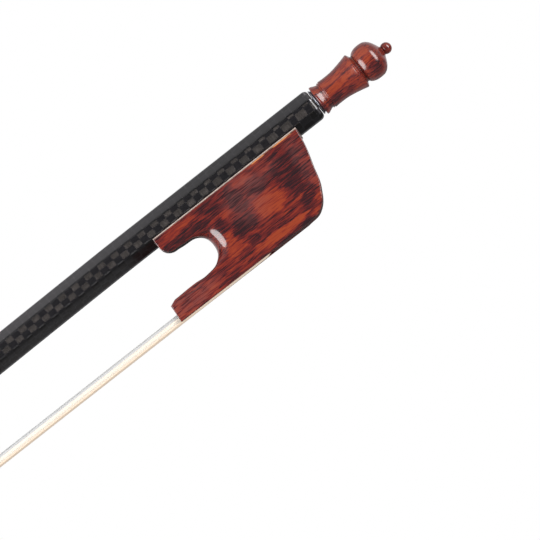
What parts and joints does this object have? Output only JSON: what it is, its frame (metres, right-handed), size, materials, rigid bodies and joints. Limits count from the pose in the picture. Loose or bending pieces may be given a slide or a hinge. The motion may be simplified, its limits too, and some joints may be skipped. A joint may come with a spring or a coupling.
{
  "type": "baroque violin bow",
  "caption": "Baroque-pattern violin bow: carbon stick with an upturned head, snakewood frog with open hair, turned snakewood button on a screw.",
  "frame": {"origin": "middle of the hair's playing face, which the bow stands on", "axes": "+X from the head to the button, +Z from the hair to the stick, Y = 0 the plane of symmetry"},
  "size_m": [0.7045, 0.0116, 0.0271],
  "materials": {
    "carbon": "clear-coated plain-weave carbon fibre",
    "snakewood": "polished, red-brown with dark figure",
    "nickel_silver": "polished nickel silver",
    "brass": "turned",
    "steel": "turned",
    "horsehair": "bleached horsehair",
    "limewood": "raw",
    "thread": "waxed thread"
  },
  "bodies": {
    "stick_body": {"stick": "carbon", "hair": "horsehair", "head_plug": "limewood", "head_hair_knot": "horsehair", "head_knot_thread": "thread"},
    "frog_body": {"frog": "snakewood", "underslide": "nickel_silver", "underslide_pin_front": "brass", "underslide_pin_rear": "brass", "eyelet": "brass", "frog_plug": "limewood", "spread_wedge": "limewood", "frog_hair_knot": "horsehair", "frog_knot_thread": "thread"},
    "screw_body": {"screw": "steel", "button": "snakewood", "button_collar": "nickel_silver"}
  },
  "joints": [
    {"name": "screw_turn", "type": "hinge", "parent": "stick_body", "child": "screw_body", "pos_m": [0.3525, 0, 0.0222], "axis": [-1, 0, 0], "range_deg": [-1550, 2270]},
    {"name": "frog_slide", "type": "slide", "parent": "stick_body", "child": "frog_body", "axis": [1, 0, 0], "range_m": [-0.003, 0.0044], "deforming": ["hair"]}
  ],
  "couplings": [
    {"joint": "screw_turn", "follows": "frog_slide", "rad_per_m": 8976}
  ]
}
